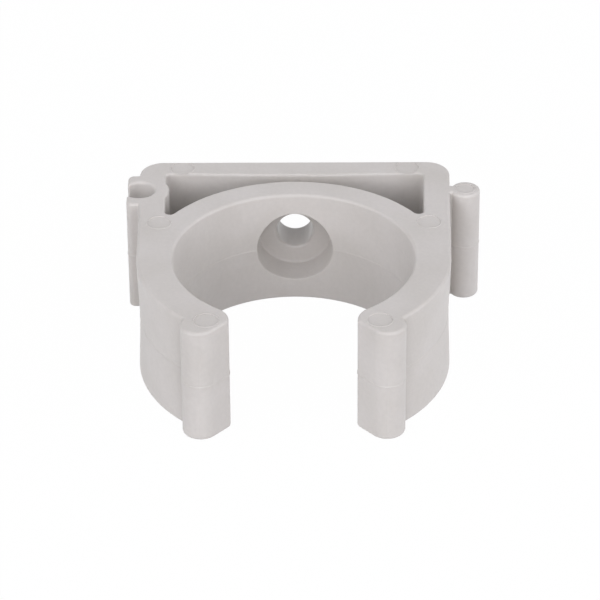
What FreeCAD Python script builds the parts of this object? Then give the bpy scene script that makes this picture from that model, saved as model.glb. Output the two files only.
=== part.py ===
import FreeCAD, Part
import math
import os

# Snap-in clip for a 32 mm pipe, moulded in one piece, in millimetres.
# The pipe's axis is +Z and the clip rests on one end face at z = 0. The mouth opens
# towards -Y and the mounting face is at +Y. The origin is on the pipe's axis.

# Pipe seat and mouth
pipe_diameter = 32.0
clip_length = 16.5          # along the pipe
mouth_width = 16.6
mouth_corner_radius = 3.0   # from the seat into the mouth
mouth_land = 0.26           # straight part of the mouth's sides

# Arms and jaws
arm_thickness = 4.85        # at both end faces
waist_depth = 0.33          # the outside is this much narrower at mid-length
jaw_bead_radius = 2.4
lead_in_angle = 41.8        # of the lead-in faces, from the mouth's sides
lead_in_length = 2.7        # flat part, between mouth and bead
lead_in_corner_radius = 1.0
jaw_notch_radius = 0.3

# Base block behind the pipe
mounting_distance = 25.17   # from the pipe's axis to the mounting face
base_width = 42.6
base_corner_radius = 3.2
plate_thickness = 3.3
plate_crown = 0.35          # extra thickness of the plate at its middle
ring_thickness = 3.8        # between the seat and the pockets
side_wall_thickness = 3.6
pocket_corner_radius = 0.6
pocket_tip_radius = 0.7
pocket_bend_radius = 0.5    # where the wall round the socket meets the side wall
outer_edge_radius = 0.4
pocket_edge_radius = 0.3

# Screw hole with a recess for the screw's head, at mid-length
screw_hole_diameter = 5.0
head_recess_diameter = 10.35
recess_depth = 4.4          # from the back of the seat
boss_wall = 1.8             # round the head recess, between ring and plate
recess_edge_radius = 0.15    # where the recess opens into the seat
recess_cove_radius = 0.3     # round the recess's floor
hole_edge_radius = 0.35      # where the hole leaves the floor; its end at the wall is sharp

# Coupling to a neighbouring clip: pin on one side, open socket on the other
coupling_y = 17.6
pin_diameter = 4.0
pin_offset = 2.1            # from the base's side to the pin's axis
pin_web_thickness = 1.9
web_corner_radius = 0.3     # where web and socket block meet the base's sides
socket_clearance = 0.05     # on the radius
socket_offset = 0.08        # from the base's side to the socket's axis
socket_block_reach = 1.63   # beyond the base's side
socket_block_length = 7.8   # across the pipe's direction, centred on the socket
socket_block_corner_radius = 0.8
socket_wall = 1.95          # between the socket and the pocket
socket_lip_radius = 0.2

# Marks that the ejector pins leave on the upper end face
ejector_mark_diameter = 3.1
ejector_mark_depth = 0.06
pin_mark_diameter = 2.4
ejector_places = [(18.15, 8.8), (11.2, -15.75), (15.5, 23.45)]  # on each side of the middle

# Worked out from the sizes above
seat_radius = pipe_diameter / 2
arm_radius = seat_radius + arm_thickness
ring_radius = seat_radius + ring_thickness
half_base = base_width / 2
half_mouth = mouth_width / 2
plate_front = mounting_distance - plate_thickness
mid_z = clip_length / 2
recess_floor = seat_radius + recess_depth
boss_radius = head_recess_diameter / 2 + boss_wall
pin_radius = pin_diameter / 2
socket_radius = pin_radius + socket_clearance
overrun = 1.0               # how far cutters run past the faces that they cut
nothing = 1e-3              # lengths below this count as none
box_slack = 0.02            # bounding boxes of curved edges are this loose
axis = (0.0, 0.0)


def point(xy, z=0.0):
    return FreeCAD.Vector(xy[0], xy[1], z)


def on_circle(centre, radius, angle):
    return (centre[0] + radius * math.cos(angle), centre[1] + radius * math.sin(angle))


def towards(start, end):
    return math.atan2(end[1] - start[1], end[0] - start[0])


def arc(centre, radius, first, last, z):
    """Arc from angle first to angle last, the shorter way round."""
    turn = (last - first + math.pi) % (2 * math.pi) - math.pi
    middle = on_circle(centre, radius, first + turn / 2)
    ends = [on_circle(centre, radius, a) for a in (first, last)]
    return Part.Arc(point(ends[0], z), point(middle, z), point(ends[1], z)).toShape()


def line(start, end, z):
    return Part.makeLine(point(start, z), point(end, z))


def mirrored(xy):
    return (-xy[0], xy[1])


def mirrored_arc(centre, radius, first, last, z):
    return arc(mirrored(centre), radius, math.pi - last, math.pi - first, z)


def circles_meet(centre_a, radius_a, centre_b, radius_b, side):
    """Point at the given distances from two centres, on one side of the line between them."""
    gap = math.hypot(centre_b[0] - centre_a[0], centre_b[1] - centre_a[1])
    along = (radius_a ** 2 - radius_b ** 2 + gap ** 2) / (2 * gap)
    swing = math.acos(along / radius_a)
    return on_circle(centre_a, radius_a, towards(centre_a, centre_b) + side * swing)


def base_corner(inset):
    across = half_base - inset - base_corner_radius
    return (across, mounting_distance - base_corner_radius)


def side_angle(inset=0.0):
    """Direction that the side wall faces, as the common tangent of the base's corner and the arm."""
    centre = base_corner(inset)
    lean = math.acos((arm_radius - inset - base_corner_radius) / math.hypot(*centre))
    return towards(axis, centre) - lean


def side_x(y, depth=0.0):
    """How far out the right side wall lies at y, at the given depth below its outer face."""
    facing = side_angle()
    return (arm_radius - depth - y * math.sin(facing)) / math.cos(facing)


pin_x = side_x(coupling_y) + pin_offset
socket_x = -(side_x(coupling_y) - socket_offset)
block_face = -(side_x(coupling_y) + socket_block_reach)


def jaw():
    """Centres of the throat's and the lip's corner and of the bead, from the seat outwards."""
    throat_x = half_mouth + mouth_corner_radius
    throat_y = -math.sqrt((seat_radius + mouth_corner_radius) ** 2 - throat_x ** 2)
    lip = (half_mouth + lead_in_corner_radius, throat_y - mouth_land)
    facing = math.pi + math.radians(lead_in_angle)
    foot = on_circle(lip, lead_in_length, facing + math.pi / 2)
    bead = on_circle(foot, lead_in_corner_radius - jaw_bead_radius, facing)
    return (throat_x, throat_y), lip, bead, facing


def section(z, inset):
    """Closed C-shaped outline of arms, jaws and base, with the outside drawn in by inset."""
    outer = arm_radius - inset
    corner = base_corner_radius
    side = side_angle(inset)
    throat, lip, bead, lead_in = jaw()
    # a small hollow joins the bead to the arm
    notch = circles_meet(axis, outer + jaw_notch_radius, bead, jaw_bead_radius + jaw_notch_radius, 1)

    right_arcs = [
        (base_corner(inset), corner, math.pi / 2, side),
        (axis, outer, side, towards(axis, notch)),
        (notch, jaw_notch_radius, towards(notch, axis), towards(notch, bead)),
        (bead, jaw_bead_radius, towards(bead, notch), -math.pi / 2),
        (bead, jaw_bead_radius, -math.pi / 2, lead_in),
        (lip, lead_in_corner_radius, lead_in, math.pi),
        (throat, mouth_corner_radius, math.pi, towards(throat, axis)),
        (axis, seat_radius, towards(axis, throat), math.pi / 2),
    ]
    # the same width at every level, so that the mounting face is a true plane
    half_flat = half_base - base_corner_radius - 2 * waist_depth
    right_end = (half_flat, mounting_distance)
    edges = [line(mirrored(right_end), right_end, z)]
    last = right_end
    for centre, radius, first, end in right_arcs:
        start = on_circle(centre, radius, first)
        if math.hypot(start[0] - last[0], start[1] - last[1]) > nothing:
            edges.append(line(last, start, z))
        edges.append(arc(centre, radius, first, end, z))
        last = on_circle(centre, radius, end)
    for centre, radius, first, end in reversed(right_arcs):
        start = mirrored(on_circle(centre, radius, end))
        if math.hypot(start[0] - last[0], start[1] - last[1]) > nothing:
            edges.append(line(last, start, z))
        edges.append(mirrored_arc(centre, radius, first, end, z))
        last = mirrored(on_circle(centre, radius, first))
    edges.append(line(last, mirrored(right_end), z))
    return Part.Wire(edges)


def clip_body():
    """The outside tapers from both end faces to the mould's parting plane at mid-length."""
    ends = section(0.0, 0.0)
    waist = section(mid_z, waist_depth)
    top = section(clip_length, 0.0)
    lower = Part.makeLoft([ends, waist], True, True)
    upper = Part.makeLoft([waist, top], True, True)
    return lower.fuse(upper)


def cylinder_along_y(radius, start_y, end_y):
    base = FreeCAD.Vector(0, start_y, mid_z)
    return Part.makeCylinder(radius, end_y - start_y, base, FreeCAD.Vector(0, 1, 0))


def upright_cylinder(centre, radius, low_z=0.0, high_z=clip_length):
    return Part.makeCylinder(radius, high_z - low_z, point(centre, low_z))


def upright_edges(shape, near, reach=0.05):
    """Edges that run from end to end, or to mid-length, beside the given plan points."""
    found = []
    for edge in shape.Edges:
        box = edge.BoundBox
        if box.ZLength < clip_length / 4 or max(box.XLength, box.YLength) > 2 * waist_depth:
            continue
        low, high = edge.ParameterRange
        middle = edge.valueAt((low + high) / 2)
        if any(math.hypot(middle.x - x, middle.y - y) < reach for x, y in near):
            found.append(edge)
    return found


def line_and_circle(start, end, centre, radius):
    """The two points where the line through start and end meets a circle, in its direction."""
    along = towards(start, end)
    gap = math.hypot(centre[0] - start[0], centre[1] - start[1])
    turn = towards(start, centre) - along
    foot = on_circle(start, gap * math.cos(turn), along)
    half_chord = math.sqrt(radius ** 2 - (gap * math.sin(turn)) ** 2)
    return on_circle(foot, -half_chord, along), on_circle(foot, half_chord, along)


def pocket():
    """Relief between ring and plate, open at both end faces and narrow behind the seat."""
    socket = (socket_x, coupling_y)
    bulge = socket_radius + socket_wall
    corner = (side_x(plate_front, side_wall_thickness), plate_front)
    foot = (side_x(0.0, side_wall_thickness), 0.0)
    tip = line_and_circle(foot, corner, axis, ring_radius)[1]
    bulge_low, bulge_high = line_and_circle(mirrored(foot), mirrored(corner), socket, bulge)
    crown_top = (0.0, plate_front - plate_crown)
    crown = Part.Arc(point(mirrored(corner)), point(crown_top), point(corner))
    ring = Part.Arc(point(tip), point((0.0, ring_radius)), point(mirrored(tip)))
    outline = [
        line(mirrored(tip), bulge_low, 0.0),
        arc(socket, bulge, towards(socket, bulge_low), towards(socket, bulge_high), 0.0),
        line(bulge_high, mirrored(corner), 0.0),
        crown.toShape(),
        line(corner, tip, 0.0),
        ring.toShape(),
    ]
    space = Part.Face(Part.Wire(outline)).extrude(FreeCAD.Vector(0, 0, clip_length))
    corners = upright_edges(space, [corner, mirrored(corner)])
    space = space.makeFillet(pocket_corner_radius, corners)
    tips = upright_edges(space, [tip, mirrored(tip)])
    space = space.makeFillet(pocket_tip_radius, tips)
    bends = upright_edges(space, [bulge_low, bulge_high])
    space = space.makeFillet(pocket_bend_radius, bends)
    # the wall round the screw's recess crosses from the ring to the plate
    return space.cut(cylinder_along_y(boss_radius, seat_radius, mounting_distance))


def socket_block():
    low_y = coupling_y - socket_block_length / 2
    width = -side_x(low_y, side_wall_thickness / 2) - block_face
    corner = FreeCAD.Vector(block_face, low_y, 0)
    block = Part.makeBox(width, socket_block_length, clip_length, corner)
    outer = [(block_face, low_y), (block_face, low_y + socket_block_length)]
    return block.makeFillet(socket_block_corner_radius, upright_edges(block, outer))


def coupling_pin():
    """Pin on a web, both as long as the clip."""
    pin = upright_cylinder((pin_x, coupling_y), pin_radius)
    start = side_x(coupling_y, side_wall_thickness / 2)
    corner = FreeCAD.Vector(start, coupling_y - pin_web_thickness / 2, 0)
    web = Part.makeBox(pin_x - start, pin_web_thickness, clip_length, corner)
    return pin.fuse(web).removeSplitter()


def screw_passage():
    recess = cylinder_along_y(head_recess_diameter / 2, 0.0, recess_floor)
    hole = cylinder_along_y(screw_hole_diameter / 2, seat_radius, mounting_distance + overrun)
    return recess.fuse(hole)


def ejector_marks():
    low = clip_length - ejector_mark_depth
    high = clip_length + overrun
    marks = [upright_cylinder((pin_x, coupling_y), pin_mark_diameter / 2, low, high)]
    for side in (-1, 1):
        for x, y in ejector_places:
            marks.append(upright_cylinder((side * x, y), ejector_mark_diameter / 2, low, high))
    return marks


def end_face_edges(shape):
    """Edges that lie in either end face."""
    found = []
    for edge in shape.Edges:
        box = edge.BoundBox
        at_end = min(abs(box.ZMin), abs(box.ZMin - clip_length)) < nothing
        if at_end and box.ZLength < nothing:
            found.append(edge)
    return found


def pocket_edges(shape):
    """Edges of the end faces that lie on the pockets' rim."""
    slack = pocket_edge_radius
    found = []
    for edge in end_face_edges(shape):
        low, high = edge.ParameterRange
        middle = edge.valueAt((low + high) / 2)
        behind_seat = middle.y > 0 and math.hypot(middle.x, middle.y) > ring_radius - slack
        in_front = middle.y < plate_front + slack
        if behind_seat and in_front and abs(middle.x) < side_x(middle.y, side_wall_thickness - slack):
            found.append(edge)
    return found


def couple(body):
    """Adds the pin with its web and the block with its open socket, with small corners in plan."""
    body = body.fuse([socket_block(), coupling_pin()]).removeSplitter()
    body = body.cut(upright_cylinder((socket_x, coupling_y), socket_radius)).Solids[0]
    half_web = pin_web_thickness / 2
    half_block = socket_block_length / 2
    web = [(side_x(y, waist_depth / 2), y) for y in (coupling_y - half_web, coupling_y + half_web)]
    block = [(-side_x(y, waist_depth / 2), y) for y in (coupling_y - half_block, coupling_y + half_block)]
    half_slot = math.sqrt(socket_radius ** 2 - (block_face - socket_x) ** 2)
    lips = [(block_face, coupling_y - half_slot), (block_face, coupling_y + half_slot)]
    body = body.makeFillet(web_corner_radius, upright_edges(body, web + block, waist_depth))
    return body.makeFillet(socket_lip_radius, upright_edges(body, lips))


def round_screw_axis(shape, diameter, start_y, end_y):
    """Edges of one diameter round the screw's axis, between two distances from the pipe's axis."""
    found = []
    for edge in shape.Edges:
        box = edge.BoundBox
        centred = max(abs(box.Center.x), abs(box.Center.z - mid_z)) < box_slack
        wide = abs(box.XLength - diameter) < box_slack
        if centred and wide and start_y - box_slack < box.YMin and box.YMax < end_y + box_slack:
            found.append(edge)
    return found


def pipe_clip():
    body = couple(clip_body().removeSplitter())
    body = body.makeFillet(outer_edge_radius, end_face_edges(body))
    body = body.cut(pocket()).Solids[0]
    body = body.makeFillet(pocket_edge_radius, pocket_edges(body))
    body = body.cut(screw_passage()).Solids[0]
    on_seat = round_screw_axis(body, head_recess_diameter, 0.0, seat_radius)
    body = body.makeFillet(recess_edge_radius, on_seat)
    round_floor = round_screw_axis(body, head_recess_diameter, recess_floor, recess_floor)
    body = body.makeFillet(recess_cove_radius, round_floor)
    hole_front = round_screw_axis(body, screw_hole_diameter, recess_floor, recess_floor)
    body = body.makeFillet(hole_edge_radius, hole_front)
    return body.cut(ejector_marks()).Solids[0]


os.makedirs("parts", exist_ok=True)
clip = pipe_clip()
clip.exportStep("parts/pipe_clip.step")
print("pipe_clip", "valid" if clip.isValid() else "INVALID", f"{clip.Volume:.1f} mm3")
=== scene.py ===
import math
import bpy
import bmesh
from mathutils import Matrix, Vector


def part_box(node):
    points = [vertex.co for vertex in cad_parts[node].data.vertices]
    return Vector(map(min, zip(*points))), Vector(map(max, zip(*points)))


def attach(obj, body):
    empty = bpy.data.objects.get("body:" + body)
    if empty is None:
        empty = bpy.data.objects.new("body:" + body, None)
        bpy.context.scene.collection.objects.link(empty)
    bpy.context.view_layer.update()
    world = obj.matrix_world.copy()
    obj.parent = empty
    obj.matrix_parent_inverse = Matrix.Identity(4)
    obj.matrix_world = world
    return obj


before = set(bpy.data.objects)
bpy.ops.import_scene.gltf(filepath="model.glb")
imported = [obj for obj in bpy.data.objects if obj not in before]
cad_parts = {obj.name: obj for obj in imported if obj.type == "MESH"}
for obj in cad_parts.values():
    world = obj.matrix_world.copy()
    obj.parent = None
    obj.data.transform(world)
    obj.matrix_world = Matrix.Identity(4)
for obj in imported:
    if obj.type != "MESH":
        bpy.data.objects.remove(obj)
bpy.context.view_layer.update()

mm = 0.001
plainWhite = (1, 1, 1, 1)
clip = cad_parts["pipe_clip"]
clipLow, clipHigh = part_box("pipe_clip")
midLength = (clipLow[2] + clipHigh[2]) / 2

# A Mix node's sockets go by number: from, to and out, first for colours, then for plain values
mixFrom, mixTo, mixed = 6, 7, 2
valueFrom, valueTo, valueMixed = 2, 3, 0


def linear(hexColour):
    # sRGB hex to the linear colour that the shaders want
    parts = [int(hexColour[i:i + 2], 16) / 255 for i in (1, 3, 5)]
    return tuple(c / 12.92 if c <= 0.04045 else ((c + 0.055) / 1.055) ** 2.4 for c in parts) + (1.0,)


def emptyTree(owner):
    owner.use_nodes = True
    owner.node_tree.nodes.clear()
    return owner.node_tree


def addNode(tree, kind, settings=None, feeds=None):
    # settings go to an attribute or a socket, feeds wire a socket to another node's output
    node = tree.nodes.new(kind)
    for key, value in (settings or {}).items():
        if isinstance(key, str) and hasattr(node, key):
            setattr(node, key, value)
        else:
            node.inputs[key].default_value = value
    for key, source in (feeds or {}).items():
        tree.links.new(source, node.inputs[key])
    return node


def addPiece(name, data):
    piece = bpy.data.objects.new(name, data)
    bpy.context.scene.collection.objects.link(piece)
    return piece


def addMeshPiece(name, bm, material):
    mesh = bpy.data.meshes.new(name)
    bm.to_mesh(mesh)
    bm.free()
    mesh.materials.append(material)
    return addPiece(name, mesh)


# Camera: a long lens that looks down into the seat from the front
camera = {
    "place": (3.875, -391.567, 254.792),   # mm
    "turn": 0.453,         # degrees to the left of straight on
    "down": 32.049,        # degrees below the horizon
    "roll": -0.427,        # degrees
    "focal": 208.0,        # mm
    "sensor": 36,          # mm
    "nearest": 0.01,       # m
    "farthest": 20,        # m
}


def makeCamera(c):
    data = bpy.data.cameras.new("camera")
    data.sensor_width = c["sensor"]
    data.lens = c["focal"]
    data.clip_start = c["nearest"]
    data.clip_end = c["farthest"]
    eye = addPiece("camera", data)
    turn = Matrix.Rotation(math.radians(c["turn"]), 4, "Z")
    tilt = Matrix.Rotation(math.radians(90 - c["down"]), 4, "X")
    roll = Matrix.Rotation(math.radians(c["roll"]), 4, "Z")
    eye.matrix_world = Matrix.Translation(Vector(c["place"]) * mm) @ turn @ tilt @ roll
    bpy.context.scene.camera = eye
    print("camera placed")


makeCamera(camera)


# The clip's plastic, all sizes in mm
plastic = {
    "grey": "#ccc7c2",
    "cloudGrey": "#c6c1bb",        # where the pigment flowed a little thinner
    "noises": {                    # across one spot, and how many finer layers it holds
        "cloud": (9.0, 3),         # slow clouds of pigment
        "speck": (0.55, 2),        # pigment specks are finer, drawn coarse enough to show
        "sink": (7.0, 1),          # slow waves of a moulded wall
        "drag": (0.45, 2),         # fine lines drawn on the walls in demoulding
        "grain": (0.30, 4),        # a spark-eroded mould's grain is about 0.05, too fine to show
    },
    "dragStretch": 40,             # how much longer than wide the drag lines are
    "cloudBand": (0.35, 0.65),     # levels of the cloud noise between which the two greys blend
    "spreadBand": (0.3, 0.7),      # levels of a noise that a spread runs between
    "speckSpread": 0.04,           # share that the specks lighten and darken the grey
    "sinkDepth": 0.015,
    "dragDepth": 0.006,
    "grainDepth": 0.010,
    "roughness": 0.46,
    "roughnessSpread": 0.10,
    "polishedReach": 2.75,         # from the screw hole's axis: its wall and its front edge
    "polishedEdge": 0.1,           # over which the polish fades
    "polishedRoughness": 0.2,
    "refraction": 1.49,
    "dullness": 0.5,               # diffuse roughness: the eroded skin keeps edges from flaring
    "glow": 0.08,                  # share of the light that wanders inside the plastic
    "glowReach": 1.2,              # how far it gets
    "glowColours": (1.0, 0.9, 0.8),   # shares of that for red, green and blue
}


def polypropyleneMoulded(name, p):
    # Polypropylene, injection moulded in a finely eroded tool: an even, slightly waxy grey with
    # a soft sheen, faint clouds of pigment and a grain that breaks up highlights. The core for
    # the screw hole was polished, so light runs in streaks along the hole's wall.
    material = bpy.data.materials.new(name)
    tree = emptyTree(material)
    place = addNode(tree, "ShaderNodeTexCoord").outputs["Object"]

    # drag lines run along the mould's opening direction, all other noises are as long as wide
    stretched = addNode(tree, "ShaderNodeMapping", {"Scale": (1, 1, 1 / p["dragStretch"])}, {"Vector": place})
    noise = {}
    for key, (size, layers) in p["noises"].items():
        source = stretched.outputs["Vector"] if key == "drag" else place
        texture = addNode(
            tree, "ShaderNodeTexNoise", {"Scale": 1 / (size * mm), "Detail": layers}, {"Vector": source}
        )
        noise[key] = texture.outputs["Fac"]

    # colour: slow clouds between two greys, then specks that lighten and darken them
    cloudLow, cloudHigh = p["cloudBand"]
    cloudShare = addNode(
        tree, "ShaderNodeMapRange", {"From Min": cloudLow, "From Max": cloudHigh}, {"Value": noise["cloud"]}
    )
    tint = addNode(
        tree, "ShaderNodeMix",
        {"data_type": "RGBA", mixFrom: linear(p["grey"]), mixTo: linear(p["cloudGrey"])},
        {"Factor": cloudShare.outputs["Result"]},
    )
    low, high = p["spreadBand"]
    speckHalf = p["speckSpread"] / 2
    speckLevel = addNode(
        tree, "ShaderNodeMapRange",
        {"From Min": low, "From Max": high, "To Min": 1 - speckHalf, "To Max": 1 + speckHalf},
        {"Value": noise["speck"]},
    )
    colour = addNode(
        tree, "ShaderNodeVectorMath", {"operation": "SCALE"},
        {0: tint.outputs[mixed], "Scale": speckLevel.outputs["Result"]},
    )

    # where the tool was eroded: 0 in the screw hole, 1 elsewhere
    across = addNode(tree, "ShaderNodeVectorMath", {"operation": "MULTIPLY", 1: (1, 0, 1)}, {0: place})
    fromAxis = addNode(
        tree, "ShaderNodeVectorMath", {"operation": "DISTANCE", 1: (0, 0, midLength)},
        {0: across.outputs["Vector"]},
    )
    polishedEnd = p["polishedReach"] + p["polishedEdge"]
    eroded = addNode(
        tree, "ShaderNodeMapRange",
        {"From Min": p["polishedReach"] * mm, "From Max": polishedEnd * mm},
        {"Value": fromAxis.outputs["Value"]},
    ).outputs["Result"]

    # relief: sink waves all over, then drag lines and grain where the tool was eroded
    relief = addNode(tree, "ShaderNodeBump", {"Distance": p["sinkDepth"] * mm}, {"Height": noise["sink"]})
    for key, depth in (("drag", p["dragDepth"]), ("grain", p["grainDepth"])):
        relief = addNode(
            tree, "ShaderNodeBump", {"Distance": depth * mm},
            {"Height": noise[key], "Strength": eroded, "Normal": relief.outputs["Normal"]},
        )

    # roughness: it follows the grain, and the screw hole is smooth
    roughHalf = p["roughnessSpread"] / 2
    grainRoughness = addNode(
        tree, "ShaderNodeMapRange",
        {
            "From Min": low, "From Max": high,
            "To Min": p["roughness"] - roughHalf, "To Max": p["roughness"] + roughHalf,
        },
        {"Value": noise["grain"]},
    )
    roughness = addNode(
        tree, "ShaderNodeMix", {valueFrom: p["polishedRoughness"]},
        {"Factor": eroded, valueTo: grainRoughness.outputs["Result"]},
    )
    shader = addNode(
        tree, "ShaderNodeBsdfPrincipled",
        {
            "IOR": p["refraction"],
            "Diffuse Roughness": p["dullness"],
            "Subsurface Weight": p["glow"],
            "Subsurface Scale": p["glowReach"] * mm,
            "Subsurface Radius": p["glowColours"],
        },
        {
            "Base Color": colour.outputs["Vector"],
            "Roughness": roughness.outputs[valueMixed],
            "Normal": relief.outputs["Normal"],
        },
    )
    addNode(tree, "ShaderNodeOutputMaterial", None, {"Surface": shader.outputs["BSDF"]})
    return material


clipPlastic = polypropyleneMoulded("polypropylene_moulded", plastic)
flashPlastic = polypropyleneMoulded("polypropylene_flash", {**plastic, "glow": 0})   # too thin to glow
for slot in clip.material_slots:
    slot.material = clipPlastic
print("clip has its plastic")


# Parting line: the fine ridge that the joint of the two mould halves leaves at mid-length, in mm
partingLine = {
    "width": 0.16,         # along the pipe
    "proud": 0.065,        # at the ridge's lower side, from where it slants back to the wall
    "thinShare": 0.1,      # share of that left at its upper side
    "screwClear": 5.35,    # each side of the middle, clear of the recess for the screw's head
    "screwBehind": 14.0,   # how far behind the pipe's axis that recess begins
    "backClear": 25.0,     # the mounting face stays flat
    "meshGap": 0.001,      # corners this close are one
    "aside": 0.03,         # how far off the wall's crease the outline is taken, as on it corners double
}


def makePartingLine(p):
    # the clip's own outline near mid-length, drawn out to a narrow band with a wall that stands proud
    bm = bmesh.new()
    bm.from_mesh(clip.data)
    bmesh.ops.remove_doubles(bm, verts=bm.verts, dist=p["meshGap"] * mm)
    everything = list(bm.verts) + list(bm.edges) + list(bm.faces)
    bmesh.ops.bisect_plane(
        bm, geom=everything, plane_co=(0, 0, midLength + p["aside"] * mm), plane_no=(0, 0, 1),
        clear_inner=True, clear_outer=True
    )
    bmesh.ops.delete(bm, geom=list(bm.faces), context="FACES_ONLY")
    for side in (-1, 1):
        outline = list(bm.verts) + list(bm.edges)
        cutPlace = (side * p["screwClear"] * mm, 0, 0)
        bmesh.ops.bisect_plane(bm, geom=outline, plane_co=cutPlace, plane_no=(1, 0, 0))
    bare = []
    for v in bm.verts:
        overScrew = abs(v.co.x) < (p["screwClear"] - p["meshGap"]) * mm and v.co.y > p["screwBehind"] * mm
        if overScrew or v.co.y > p["backClear"] * mm:
            bare.append(v)
    bmesh.ops.delete(bm, geom=bare, context="VERTS")
    bmesh.ops.translate(bm, verts=bm.verts, vec=(0, 0, -(p["aside"] + p["width"] / 2) * mm))
    sharp = bm.verts.layers.deform.new()
    for v in bm.verts:
        v[sharp][0] = 1.0
    band = bmesh.ops.extrude_edge_only(bm, edges=bm.edges)
    upper = [g for g in band["geom"] if isinstance(g, bmesh.types.BMVert)]
    for v in upper:
        v[sharp][0] = 0.0
    bmesh.ops.translate(bm, verts=upper, vec=(0, 0, p["width"] * mm))
    bmesh.ops.recalc_face_normals(bm, faces=bm.faces)
    ridge = addMeshPiece("parting_line", bm, flashPlastic)
    lowerSide = ridge.vertex_groups.new(name="lower_side")
    wall = ridge.modifiers.new("wall", "SOLIDIFY")
    wall.thickness = 2 * p["proud"] * mm
    wall.offset = 0
    wall.vertex_group = lowerSide.name
    wall.thickness_vertex_group = p["thinShare"]
    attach(ridge, "root")
    print("parting line", len(ridge.data.polygons), "faces")


makePartingLine(partingLine)


# Fine rims that the ejector pins pressed up round their marks on the upper end face, in mm
ejectorRims = {
    "places": [(18.15, 8.8), (11.2, -15.75), (15.5, 23.45)],   # on both sides of the middle
    "radius": 1.55,
    "pinPlace": (23.31, 17.6),
    "pinRadius": 1.2,
    "width": 0.20,
    "proud": 0.05,
    "backClear": 24.75,    # where the plate's back edge begins to round off
    "steps": 64,
    "sectionSteps": 8,
}


def makeEjectorRims(r):
    bm = bmesh.new()
    marks = [(r["pinPlace"], r["pinRadius"])]
    for x, y in r["places"]:
        marks += [((x, y), r["radius"]), ((-x, y), r["radius"])]
    for (x, y), radius in marks:
        # an oval stood upright outside the mark's wall, half of it above the face, then spun round
        upright = Matrix.Rotation(math.radians(90), 4, "X")
        oval = Matrix.Diagonal((r["width"] / 2 * mm, 1, r["proud"] * mm, 1))
        spot = Matrix.Translation(((x + radius + r["width"] / 2) * mm, y * mm, clipHigh[2]))
        stood = spot @ oval @ upright
        section = bmesh.ops.create_circle(bm, segments=r["sectionSteps"], radius=1, matrix=stood)["verts"]
        loop = list({edge for v in section for edge in v.link_edges})
        bmesh.ops.spin(
            bm, geom=section + loop, cent=(x * mm, y * mm, clipHigh[2]), axis=(0, 0, 1),
            angle=2 * math.pi, steps=r["steps"], use_merge=True
        )
    everything = list(bm.verts) + list(bm.edges) + list(bm.faces)
    cut = bmesh.ops.bisect_plane(
        bm, geom=everything, plane_co=(0, r["backClear"] * mm, 0), plane_no=(0, 1, 0), clear_outer=True
    )
    ends = [g for g in cut["geom_cut"] if isinstance(g, bmesh.types.BMEdge)]
    bmesh.ops.holes_fill(bm, edges=ends)
    bmesh.ops.recalc_face_normals(bm, faces=bm.faces)
    for face in bm.faces:
        face.smooth = True
    rims = addMeshPiece("ejector_rims", bm, flashPlastic)
    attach(rims, "root")
    print("ejector rims", len(rims.data.polygons), "faces")


makeEjectorRims(ejectorRims)


# White studio: a paper floor in a white room that the camera sees as plain white
studio = {
    "floorSize": 3.0,          # m
    "floorColour": "#c3c3c3",  # the light that it throws back at the object
    "floorGap": 0.02,          # mm below the clip
    "floorWhite": 0.985,       # share of plain white in what the camera sees of it; the rest is shaded
    "worldColour": "#f8f9ff",
    "worldLevel": 0.26,        # light from the room itself
}


def seenDirectly(tree):
    # one for the camera's own rays and for what a surface mirrors or lets through
    rays = addNode(tree, "ShaderNodeLightPath").outputs
    seenOrMirrored = addNode(
        tree, "ShaderNodeMath", {"operation": "ADD"}, {0: rays["Is Camera Ray"], 1: rays["Is Glossy Ray"]}
    )
    anyOfThree = addNode(
        tree, "ShaderNodeMath", {"operation": "ADD", "use_clamp": True},
        {0: seenOrMirrored.outputs[0], 1: rays["Is Transmission Ray"]},
    )
    return anyOfThree.outputs[0]


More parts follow.
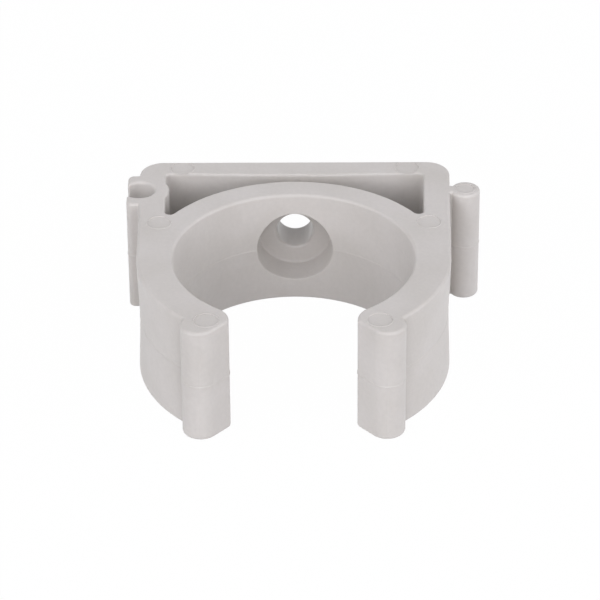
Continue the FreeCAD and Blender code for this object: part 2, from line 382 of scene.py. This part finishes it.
def makeFloor(s):
    material = bpy.data.materials.new("paper_floor")
    tree = emptyTree(material)
    seen = seenDirectly(tree)
    colour = addNode(
        tree, "ShaderNodeMix",
        {"data_type": "RGBA", mixFrom: linear(s["floorColour"]), mixTo: plainWhite}, {"Factor": seen}
    )
    paper = addNode(tree, "ShaderNodeBsdfDiffuse", None, {"Color": colour.outputs[mixed]})
    white = addNode(tree, "ShaderNodeEmission", {"Strength": 1.0})
    share = addNode(tree, "ShaderNodeMath", {"operation": "MULTIPLY", 1: s["floorWhite"]}, {0: seen})
    feeds = {0: share.outputs[0], 1: paper.outputs[0], 2: white.outputs[0]}
    both = addNode(tree, "ShaderNodeMixShader", None, feeds)
    addNode(tree, "ShaderNodeOutputMaterial", None, {"Surface": both.outputs[0]})
    bm = bmesh.new()
    bmesh.ops.create_grid(bm, x_segments=1, y_segments=1, size=s["floorSize"] / 2)
    floor = addMeshPiece("floor", bm, material)
    floor.location.z = clipLow[2] - s["floorGap"] * mm


def makeWorld(s):
    world = bpy.data.worlds.new("studio")
    bpy.context.scene.world = world
    tree = emptyTree(world)
    roomColour = linear(s["worldColour"])
    room = addNode(tree, "ShaderNodeBackground", {"Color": roomColour, "Strength": s["worldLevel"]})
    white = addNode(tree, "ShaderNodeBackground", {"Color": plainWhite, "Strength": 1.0})
    feeds = {0: seenDirectly(tree), 1: room.outputs[0], 2: white.outputs[0]}
    both = addNode(tree, "ShaderNodeMixShader", None, feeds)
    addNode(tree, "ShaderNodeOutputWorld", None, {"Surface": both.outputs[0]})


# Soft boxes of one kind, all aimed at the clip: places and sizes in metres, power in watts
softBox = {
    "size": 0.7,
    "colour": "#f8f9ff",
    "target": (0, 0, 0.008),
}
lamps = {
    "top": {"place": (0, 0.02, 1.0), "power": 0.8},
    "frontHigh": {"place": (0, -0.7, 0.8), "power": 2.0},
    "frontLeft": {"place": (-0.7, -0.6, 0.5), "power": 4.75},
    "frontRight": {"place": (0.7, -0.6, 0.5), "power": 3.2},
    "frontLow": {"place": (0, -1.0, 0.12), "power": 5.0},
    "right": {"place": (1.0, 0, 0.35), "power": 3.15},
}


def makeLamps(box, lampList):
    for name, lamp in lampList.items():
        data = bpy.data.lights.new(name, "AREA")
        data.shape = "SQUARE"
        data.size = box["size"]
        data.color = linear(box["colour"])[:3]
        data.energy = lamp["power"]
        light = addPiece(name, data)
        light.location = lamp["place"]
        aim = Vector(box["target"]) - Vector(lamp["place"])
        light.rotation_euler = aim.to_track_quat("-Z", "Y").to_euler()


makeFloor(studio)
makeWorld(studio)
makeLamps(softBox, lamps)
bpy.context.scene.view_settings.view_transform = "Standard"
print("studio lit")
